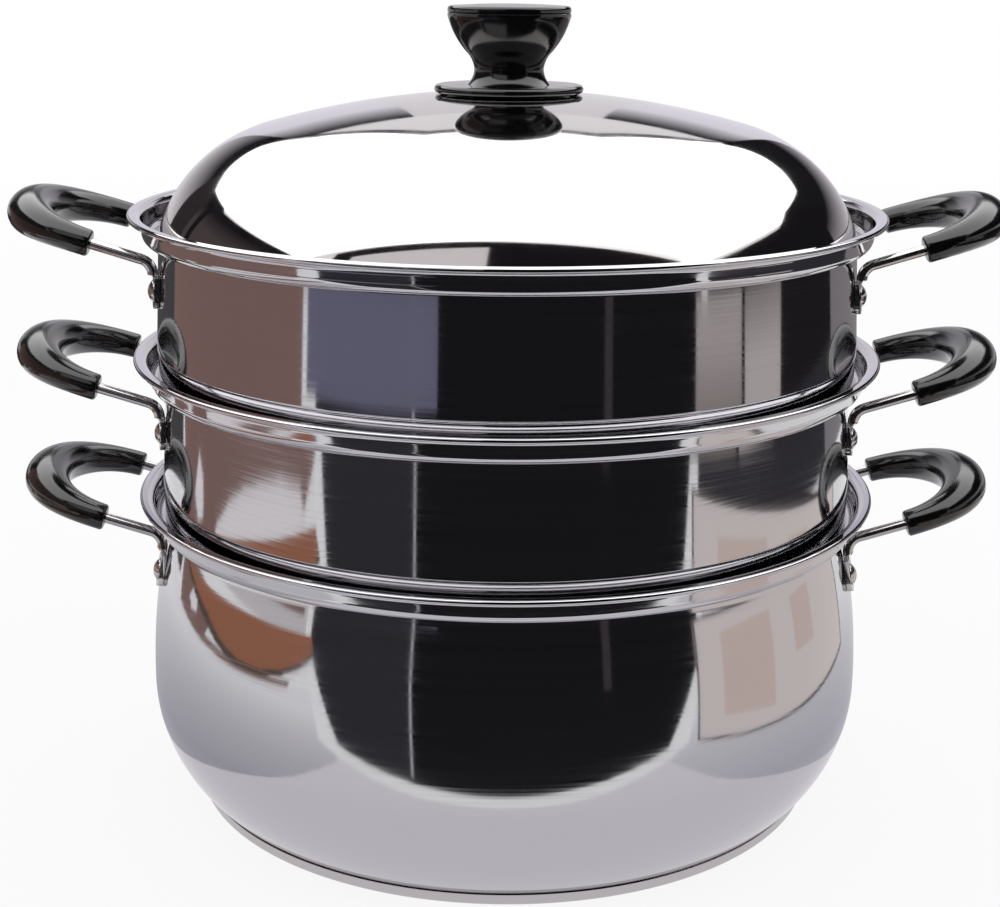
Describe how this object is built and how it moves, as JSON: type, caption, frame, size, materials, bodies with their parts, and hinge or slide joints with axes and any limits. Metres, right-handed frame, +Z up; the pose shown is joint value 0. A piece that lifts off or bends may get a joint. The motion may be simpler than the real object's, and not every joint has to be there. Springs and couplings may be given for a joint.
{
  "type": "steamer pot",
  "caption": "Stainless steel steamer pot: bellied pot, nesting steamer tiers with perforated floors, domed lid, and black phenolic knob and loop grips on riveted rods.",
  "frame": {"origin": "middle of the pot's flat base, on the surface that it stands on", "axes": "+Z up along the axis of the pot, +X towards the right-hand handles as the picture shows them, +Y away from the camera"},
  "size_m": [0.4038, 0.304, 0.3223],
  "materials": {
    "polished_steel": "mirror-polished stainless steel with faint turning lines",
    "base_steel": "satin stainless steel",
    "floor_steel": "plain stainless steel sheet",
    "rod_steel": "bright polished steel wire",
    "fastener_steel": "bright steel",
    "aluminium_core": "plain pressed disc",
    "brass_insert": "plain turned",
    "black_phenolic": "glossy black phenolic moulding"
  },
  "bodies": {
    "pot": {"pot_body": "polished_steel", "pot_base_cap": "base_steel", "pot_base_core": "aluminium_core", "pot_right_grip": "black_phenolic", "pot_right_rod": "rod_steel", "pot_right_rivets": "fastener_steel", "pot_left_grip": "black_phenolic", "pot_left_rod": "rod_steel", "pot_left_rivets": "fastener_steel"},
    "lower_steamer": {"lower_steamer_wall": "polished_steel", "lower_steamer_floor": "floor_steel", "lower_steamer_right_grip": "black_phenolic", "lower_steamer_right_rod": "rod_steel", "lower_steamer_right_rivets": "fastener_steel", "lower_steamer_left_grip": "black_phenolic", "lower_steamer_left_rod": "rod_steel", "lower_steamer_left_rivets": "fastener_steel"},
    "upper_steamer": {"upper_steamer_wall": "polished_steel", "upper_steamer_floor": "floor_steel", "upper_steamer_right_grip": "black_phenolic", "upper_steamer_right_rod": "rod_steel", "upper_steamer_right_rivets": "fastener_steel", "upper_steamer_left_grip": "black_phenolic", "upper_steamer_left_rod": "rod_steel", "upper_steamer_left_rivets": "fastener_steel"},
    "lid": {"lid_shell": "polished_steel", "knob": "black_phenolic", "knob_insert": "brass_insert", "knob_washer": "fastener_steel", "knob_screw": "fastener_steel"}
  },
  "joints": [
    {"name": "lower_steamer_lift", "type": "slide", "parent": "pot", "child": "lower_steamer", "axis": [0, 0, 1], "range_m": [0, 0.12]},
    {"name": "upper_steamer_lift", "type": "slide", "parent": "lower_steamer", "child": "upper_steamer", "axis": [0, 0, 1], "range_m": [0, 0.12]},
    {"name": "lid_lift", "type": "slide", "parent": "upper_steamer", "child": "lid", "axis": [0, 0, 1], "range_m": [0, 0.12]}
  ]
}
